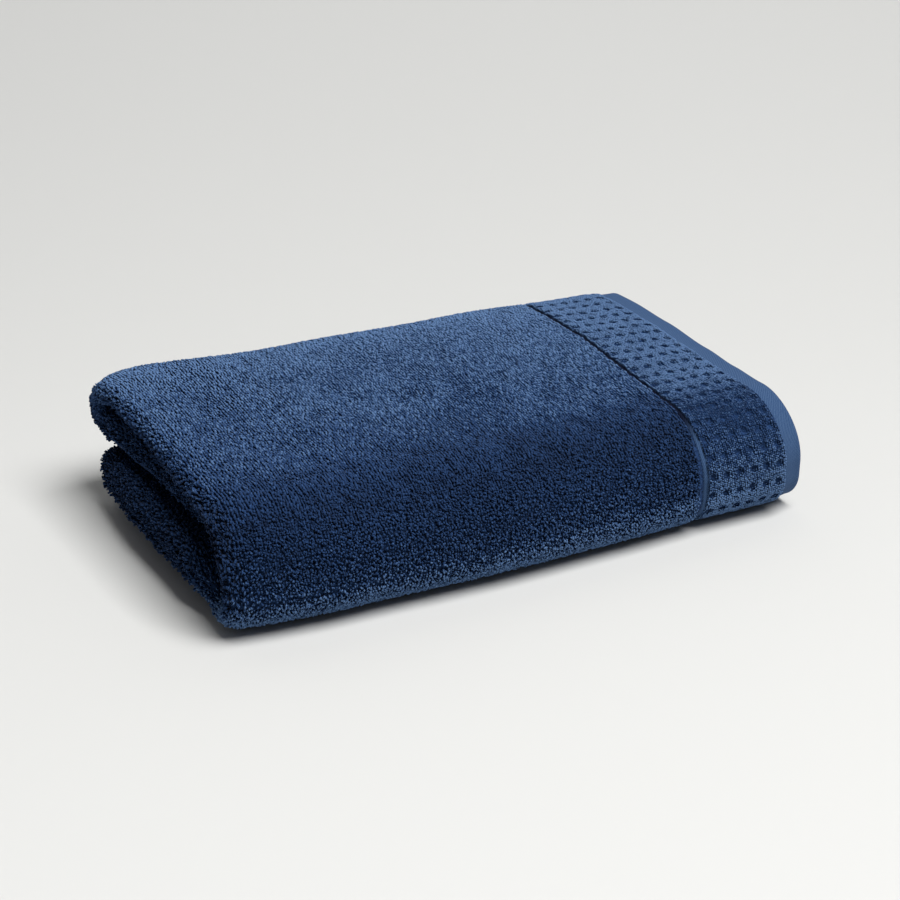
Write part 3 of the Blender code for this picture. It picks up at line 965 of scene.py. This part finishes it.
def make_loop(name, rings, sides):
    """An arch along X, about 1 unit long and wide and a little less high."""
    shape = bmesh.new()
    rise_layer = shape.verts.layers.float.new("rise")

    def add_point(x, y, z):
        vert = shape.verts.new((x, y, z))
        vert[rise_layer] = max(0.0, min(1.0, z))
        return vert

    start, end = add_point(-0.5, 0, FOOT), add_point(0.5, 0, FOOT)
    loops = []
    for ring in range(rings):
        angle = math.pi * (1 - (ring + 1) / (rings + 1))
        turns = [2 * math.pi * (side + 0.5) / sides for side in range(sides)]
        loops.append([add_point(
            (ARCH_REACH + YARN_LONG * math.cos(turn)) * math.cos(angle),
            0.5 * math.sin(turn),
            (ARCH_RISE + YARN_HIGH * math.cos(turn)) * math.sin(angle)) for turn in turns])
    for side in range(sides):
        after = (side + 1) % sides
        shape.faces.new((start, loops[0][side], loops[0][after]))
        shape.faces.new((end, loops[-1][after], loops[-1][side]))
        for ring in range(rings - 1):
            shape.faces.new((loops[ring][side], loops[ring + 1][side],
                             loops[ring + 1][after], loops[ring][after]))
    bmesh.ops.recalc_face_normals(shape, faces=shape.faces)
    mesh = new_mesh(name, shape)
    print(name, "has", sum(len(face.vertices) - 2 for face in mesh.polygons), "triangles")
    return bpy.data.objects.new(name, mesh)

# %% [markdown]
# ## Pile by nodes
# Geometry Nodes set a copy of the loop on every point of a seat: a mesh of bare points in the rows
# that a loom makes. Each point carries the way out of the cloth (out), the row's direction (row), a
# shared lean (sway) and a share of the height (reach). The tree turns, leans and sizes each copy a
# little at random and stores its tint.

# %% Pile nodes
def pile_tree(name):
    """Sets a loop on every seat point, a little at random."""
    tree = bpy.data.node_groups.new(name, "GeometryNodeTree")
    inputs = (("Geometry", "Geometry"), ("Loop", "Object"), ("Finish", "Material"), ("Size", "Vector"),
              ("Spread", "Float"), ("Turn", "Float"), ("Lean", "Float"), ("Seed", "Int"))
    for label, kind in inputs:
        tree.interface.new_socket(label, in_out="INPUT", socket_type="NodeSocket" + kind)
    tree.interface.new_socket("Geometry", in_out="OUTPUT", socket_type="NodeSocketGeometry")
    given = add_node(tree, "NodeGroupInput").outputs
    loop = add_node(tree, "GeometryNodeObjectInfo", {"Object": given["Loop"]}).outputs["Geometry"]
    out, row, sway, reach = (
        add_node(tree, "GeometryNodeInputNamedAttribute", {"Name": key}, data_type=kind)
        for key, kind in (("out", "FLOAT_VECTOR"), ("row", "FLOAT_VECTOR"), ("sway", "FLOAT_VECTOR"),
                          ("reach", "FLOAT")))
    upright = add_node(tree, "FunctionNodeAlignRotationToVector", {"Vector": out}, axis="Z")
    in_row = add_node(tree, "FunctionNodeAlignRotationToVector",
                      {"Rotation": upright, "Vector": row}, axis="X", pivot_axis="Z")

    def both_ways(size, seed_step):
        """A random number between -size and size for each seat."""
        low = add_node(tree, "ShaderNodeMath", {0: size, 1: -1.0}, operation="MULTIPLY")
        seed = add_node(tree, "ShaderNodeMath", {0: given["Seed"], 1: float(seed_step)}, operation="ADD")
        number = add_node(tree, "FunctionNodeRandomValue", {2: low, 3: size, "Seed": seed},
                          data_type="FLOAT")
        return number.outputs[1]

    angles = add_node(tree, "ShaderNodeCombineXYZ", {
        "X": both_ways(given["Lean"], 1), "Y": both_ways(given["Lean"], 2),
        "Z": both_ways(given["Turn"], 3)})
    leant = add_node(tree, "ShaderNodeVectorMath", {0: angles, 1: sway}, operation="ADD")
    twist = add_node(tree, "FunctionNodeEulerToRotation", {"Euler": leant})
    turned = add_node(tree, "FunctionNodeRotateRotation", {"Rotation": in_row, "Rotate By": twist},
                      rotation_space="LOCAL")
    grown = add_node(tree, "ShaderNodeMath", {0: both_ways(given["Spread"], 4), 1: 1.0}, operation="ADD")
    reached = add_node(tree, "ShaderNodeMath", {0: grown, 1: reach}, operation="MULTIPLY")
    size = add_node(tree, "ShaderNodeVectorMath", {0: given["Size"], "Scale": reached}, operation="SCALE")
    placed = add_node(tree, "GeometryNodeInstanceOnPoints", {
        "Points": given["Geometry"], "Instance": loop, "Rotation": turned, "Scale": size})
    tint = add_node(tree, "FunctionNodeRandomValue", {"Seed": given["Seed"]}, data_type="FLOAT")
    stored = add_node(tree, "GeometryNodeStoreNamedAttribute", {
        "Geometry": placed, "Name": "tint", "Value": tint.outputs[1]},
        data_type="FLOAT", domain="INSTANCE")
    real = add_node(tree, "GeometryNodeRealizeInstances", {"Geometry": stored})
    finished = add_node(tree, "GeometryNodeSetMaterial", {"Geometry": real, "Material": given["Finish"]})
    add_node(tree, "NodeGroupOutput", {"Geometry": finished})
    return tree


loop_shape = make_loop("loop", rings=2, sides=3)
pile_nodes = pile_tree("terry pile")

# %% [markdown]
# ## Seats
# A seat point's directions are measured on the folded cloth itself, by small steps to each side, so
# that loops stand square to the cloth wherever it bends.

# %% Seats
SMALL_STEP = 0.0004  # between places that are compared


def seat_points(name, u, v, n, reach, sway, painted_light_and_tone):
    """Bare points on the folded face, with the ways out of it and along the row."""
    here = fold(u, v, n)
    along = fold(u + SMALL_STEP, v, n) - fold(u - SMALL_STEP, v, n)
    row = fold(u, v + SMALL_STEP, n) - fold(u, v - SMALL_STEP, n)
    out = np.cross(row, along)
    out /= np.linalg.norm(out, axis=1)[:, None]
    row /= np.linalg.norm(row, axis=1)[:, None]
    outward = np.einsum("ij,ij->i", fold(u, v, n + SMALL_STEP) - here, out)
    out *= np.sign(outward)[:, None]
    mesh = bpy.data.meshes.new(name)
    mesh.vertices.add(len(here))
    mesh.vertices.foreach_set("co", here.ravel())
    for key, values in (("out", out), ("row", row), ("sway", sway)):
        mesh.attributes.new(key, "FLOAT_VECTOR", "POINT").data.foreach_set("vector", values.ravel())
    for key, values in (("reach", reach), ("painted_light_and_tone", painted_light_and_tone)):
        mesh.attributes.new(key, "FLOAT", "POINT").data.foreach_set("value", values)
    seat = bpy.data.objects.new(name, mesh)
    towel_pieces.objects.link(seat)
    return seat


def run_nodes(name, seat, tree, values):
    """Runs a tree on a seat and returns the result as a plain mesh piece."""
    modifier = seat.modifiers.new(name, "NODES")
    modifier.node_group = tree
    sockets = {item.name: item.identifier for item in tree.interface.items_tree
               if item.in_out == "INPUT"}
    for key, value in values.items():
        modifier[sockets[key]] = value
    evaluated = seat.evaluated_get(bpy.context.evaluated_depsgraph_get())
    mesh = bpy.data.meshes.new_from_object(evaluated)
    bpy.data.objects.remove(seat)
    for key in ("out", "row", "sway", "reach"):
        mesh.attributes.remove(mesh.attributes[key])
    mesh.name = name
    piece = bpy.data.objects.new(name, mesh)
    towel_pieces.objects.link(piece)
    mesh.calc_loop_triangles()
    print(name, "has", len(mesh.loop_triangles), "triangles")
    return piece


print("pile nodes:", len(pile_nodes.nodes))

# %% [markdown]
# ## Kinds of loops
# On the front the loops stand up and point every way. On the top a hand has smoothed them over along
# their rows. Where the cloth turns in at the fold end they open out, fine and uneven. On the band
# they are low and even. All are drawn coarser than real loops, or they would be too many.

# %% Kinds of loops
# size: length along the row, width and height. spread: share by which sizes differ.
# turn, lean: the most that a loop turns and leans. skew: the turn that all have. All in radians.
Kind = namedtuple("Kind", "row_spacing gap size turn lean spread skew")
FRONT = Kind(0.0015, 0.0016, (0.0019, 0.0009, 0.0032), 1.3, 0.30, 0.25, 0.0)
TOP = Kind(0.0017, 0.0016, (0.0033, 0.0013, 0.0018), 0.15, 0.15, 0.25, -0.08)
END = Kind(0.0012, 0.00135, (0.0020, 0.0007, 0.0036), 0.6, 0.55, 0.50, 0.0)
BAND = Kind(0.00145, 0.00145, (0.0019, 0.0012, 0.0018), 1.5, 0.15, 0.12, 0.0)
ROW_STRAY = 0.7   # stray off the row, as a share of the stray along it
ROW_POINTS = 600  # points at which the face is measured for its rows
chance = np.random.default_rng(7)


def face_rows(u_from, u_to, v, spacing):
    """Rows that lie evenly along the outer face, measured at one place across."""
    u = np.linspace(u_from, u_to, ROW_POINTS)
    return even_places(u_from, u_to, spacing, u, lengths_over(u, v, TERRY_THICK / 2))


def rows_of_loops(u_rows, v_from, v_to, gap, stray):
    """Places of the loops: even rows, every other one half a gap on, each loop a little astray."""
    places = even_places(v_from, v_to, gap, measure_v, measure_s)
    u, v = np.meshgrid(u_rows, places, indexing="ij")
    v[::2] += np.gradient(places) / 2
    u = u + chance.uniform(-ROW_STRAY, ROW_STRAY, u.shape) * stray * np.gradient(u_rows)[:, None]
    v = v + chance.uniform(-stray, stray, v.shape) * np.gradient(places)[None, :]
    return u.ravel(), v.ravel()


def thinned(u, v, share):
    """Keeps a share of the places, at random."""
    kept = chance.random(len(u)) < share
    return u[kept], v[kept]


print("loops stand", 1000 * FRONT.gap, "mm apart on the front")

# %% [markdown]
# ## How the pile lies
# Pile is never even. It has dents, patches that lean together, lighter and darker patches, and rows
# that wander. Each comes from random numbers on a coarse grid over the flat towel, read smoothly.

# %% Uneven pile
DENT = 0.0036        # size of the dents in the pile
LEAN_PATCH = 0.013   # size of the patches that lean one way
SHADE_PATCH = 0.030  # size of lighter and darker patches
DENT_SHORTENS = 0.3  # share by which a dent shortens its loops
DENT_PAINTED_SHADE, PATCH_SHADE = 0.12, 0.035  # painted shade in a dent, and random tone of a patch
LEAN_OVER, LEAN_ALONG = 0.12, 0.16  # lean of the patches, in radians
WANDER = 0.0010      # how far the rows wander from a straight line


def random_field(size):
    """Random numbers on a grid over the flat towel, to read with soft_noise."""
    shape = (int(FLAT_LENGTH / size) + 2, int(FLAT_WIDTH / size) + 2)
    return size, chance.uniform(-1, 1, shape)


def soft_noise(field, u, v):
    """Smooth patches between -1 and 1, the size of the field's grid."""
    size, grid = field
    row, column = (u / size).astype(int), (v / size).astype(int)
    down, right = smooth(u / size - row), smooth(v / size - column)
    near = grid[row, column] * (1 - right) + grid[row, column + 1] * right
    far = grid[row + 1, column] * (1 - right) + grid[row + 1, column + 1] * right
    return near * (1 - down) + far * down


dents, lean_over, lean_along = random_field(DENT), random_field(LEAN_PATCH), random_field(LEAN_PATCH)
patches = random_field(SHADE_PATCH)
print("grids of", [field[1].shape for field in (dents, lean_over, patches)])

# %% [markdown]
# ## Painted light and shade
# Terry looks light where the pile lies away from you and dark where you look into it, and the light
# falls unevenly on it. This light and shade is painted into the pile's colour: a table gives it by
# the distance across, as seen from the front. Besides, the top is painted lighter beside the border,
# and the pile is painted darker where the cloth turns in at the fold end.

# %% Brushed pile
PaintedLight = namedtuple("PaintedLight", "at light")
# painted light (plus) and painted shade (minus) of the pile, by the distance across
PAINTED_LIGHT_ACROSS = (
    PaintedLight(0.175, 0.03),      # under the fold end
    PaintedLight(0.212, 0.60),      # foot of the front
    PaintedLight(0.230, 0.02),
    PaintedLight(0.264, -0.29),     # upper front corner
    PaintedLight(0.300, 0.00),
    PaintedLight(0.340, 0.09),
    PaintedLight(0.400, 0.17),
    PaintedLight(0.450, 0.35),      # back of the top
    PaintedLight(0.500, 0.12),
)
PAINTED_BORDER_LIGHT = 0.10  # painted light: how much lighter the top is painted beside the border
SHINE_U, SHINE_U_EASE = 0.19, 0.12  # where along it ends, and how softly
SHINE_V, SHINE_V_EASE = 0.28, 0.03  # where across it starts
PAINTED_END_SHADE = 0.30     # painted shade: how much darker the pile is painted where the cloth turns in
TURNED, TURNED_EASE = 0.12, 0.40  # share of the turn at which that starts, and how softly


def painted_light_of(u, v):
    """Painted light and shade of the pile at a place."""
    shine = PAINTED_BORDER_LIGHT * smooth((SHINE_U - u) / SHINE_U_EASE) * smooth((v - SHINE_V) / SHINE_V_EASE)
    turned = (1 + lengthwise(u, v)[2]) / 2
    return np.interp(v, *zip(*PAINTED_LIGHT_ACROSS)) + shine - PAINTED_END_SHADE * smooth((turned - TURNED) / TURNED_EASE)


print("shade from", min(row.light for row in PAINTED_LIGHT_ACROSS), "to", max(row.light for row in PAINTED_LIGHT_ACROSS))

# %% [markdown]
# ## Making a pile
# Places get their lean and their painted light and shade here, and then the nodes make the piece.
# Beside the sunk line the pile parts, except on the top. Loops that would stand in the floor are left out.

# %% Pile maker
LINE_PART, LINE_PART_EASE = 0.0034, 0.004  # how far pile parts from the sunk line, and over what width
SEAT_TEST, FLOOR_GAP = 0.0006, 0.0004  # at this height, a loop is this far off the floor
LEAST_REACH = 0.4  # share of the full height below which a loop is left out
piles = []


def add_pile(name, u, v, seed, kind, height=field_height, reach=1.0, light=0.0):
    """Seats loops of one kind at flat places and makes them one piece."""
    in_field = u > LINE_START
    n = height(u, v, np.ones_like(u))
    u = u + WANDER * soft_noise(lean_along, u, v) * in_field
    beside = np.exp(np.minimum(0, PILE_U[0] - u) / LINE_PART_EASE) * in_field
    u = u + beside * LINE_PART * (1 - over_line(v))
    dent = np.minimum(0, soft_noise(dents, u, v))**2
    reach = reach * (1 - DENT_SHORTENS * dent)
    clear = fold(u, v, n + SEAT_TEST)[:, 2] > towel_low.z + FLOOR_GAP
    u, v, n, reach, dent = (values[clear & (reach > LEAST_REACH)] for values in (u, v, n, reach, dent))
    sway = np.stack([LEAN_OVER * soft_noise(lean_over, u, v), LEAN_ALONG * soft_noise(lean_along, u, v),
                     np.full_like(u, kind.skew)], axis=-1)
    # painted light and shade of the place, random patches of tone, and painted shade in the dents
    painted_light_and_tone = light + painted_light_of(u, v) + PATCH_SHADE * soft_noise(patches, u, v) - DENT_PAINTED_SHADE * dent
    seat = seat_points(name + "_seat", u, v, n, reach, sway, painted_light_and_tone)
    piles.append(run_nodes(name, seat, pile_nodes, {
        "Loop": loop_shape, "Finish": LOOPS, "Size": kind.size, "Spread": kind.spread,
        "Turn": kind.turn, "Lean": kind.lean, "Seed": seed}))

# %% [markdown]
# ## Terry pile
# The pile is made in strips across the wrap, so that no piece grows too heavy. Round the upper front
# corner the front's loops thin out while the top's come in, and both go on a little into the other's
# half, so that no bare ground shows.

# %% Terry pile
FIRST_ROW = 0.0006    # from the sunk line's step to the first row
END_ROWS = 0.056      # along the fold end's curve, where its own closer rows start
BLEND_FROM, BLEND = 0.010, 0.030  # past the front, where and over what width the loops change
BLEND_SHARED = 0.006  # how far each kind goes on into the other's half
STRIP = 0.08          # width of a strip of the top
BARE_EDGE = 0.004     # side edge without loops
STRAY, BLEND_STRAY, END_STRAY = 0.30, 0.35, 0.50

end_from = start_of("end curve")[0] + END_ROWS
top_mid = start_of("top pad", ACROSS)[0] + STRIP
front_rows = face_rows(PILE_U[0] + FIRST_ROW, end_from, top_mid, FRONT.row_spacing)
top_rows = face_rows(PILE_U[0] + FIRST_ROW, end_from, top_mid, TOP.row_spacing)
end_rows = face_rows(end_from, PILE_U[1], top_mid, END.row_spacing)[1:]

top_start, front_end = top_from + BLEND_FROM - BLEND_SHARED, top_from + BLEND_FROM + BLEND_SHARED
u, v = rows_of_loops(front_rows, PILE_V[0], front_end + BLEND, FRONT.gap, BLEND_STRAY)
add_pile("pile_front", *thinned(u, v, 1 - smooth((v - front_end) / BLEND)), seed=1, kind=FRONT)
u, v = rows_of_loops(top_rows, top_start, top_mid, TOP.gap, BLEND_STRAY)
add_pile("pile_top_front", *thinned(u, v, smooth((v - top_start) / BLEND)), seed=2, kind=TOP)
for name, rows, v_from, v_to, stray, seed, kind in (
        ("pile_top_back", top_rows, top_mid, top_mid + STRIP, STRAY, 5, TOP),
        ("pile_back", top_rows, top_mid + STRIP, PILE_V[1], STRAY, 3, TOP),
        ("pile_end_low", end_rows, BARE_EDGE, top_from, END_STRAY, 4, END),
        ("pile_end_high", end_rows, top_from, FLAT_WIDTH - BARE_EDGE, END_STRAY, 8, END)):
    add_pile(name, *rows_of_loops(rows, v_from, v_to, kind.gap, stray), seed=seed, kind=kind)

# %% [markdown]
# ## Band pile
# The band's loops are low and stand on a close even grid. In the pits they are shorter, and in the
# middle of a pit there are none. So the pits are real hollows, and not painted on.

# %% Band pile
BAND_STRAY = 0.2
BAND_PAINTED_LIGHT = 0.22   # painted light: low loops are painted lighter, as they show less of their shaded feet
PIT_SHORTENS = 0.8  # share by which a pit shortens its loops

band_rows = np.arange(HEM_WIDTH + STEP, LINE_START - STEP / 2, BAND.row_spacing)
u, v = rows_of_loops(band_rows, *PILE_V, BAND.gap, BAND_STRAY)
add_pile("pile_band", u, v, seed=6, kind=BAND, height=border_height,
         reach=1 - PIT_SHORTENS * pit(u, v), light=BAND_PAINTED_LIGHT)
print("loops in all:", sum(len(pile.data.polygons) for pile in piles) // len(loop_shape.data.polygons))

# %% [markdown]
# ## Putting it together
# Every piece rides on the towel's one body and takes its place, and the imported towel is hidden.

# %% Pieces on the body
for piece in (ground, border, *piles):
    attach(piece, "root")
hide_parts("towel")
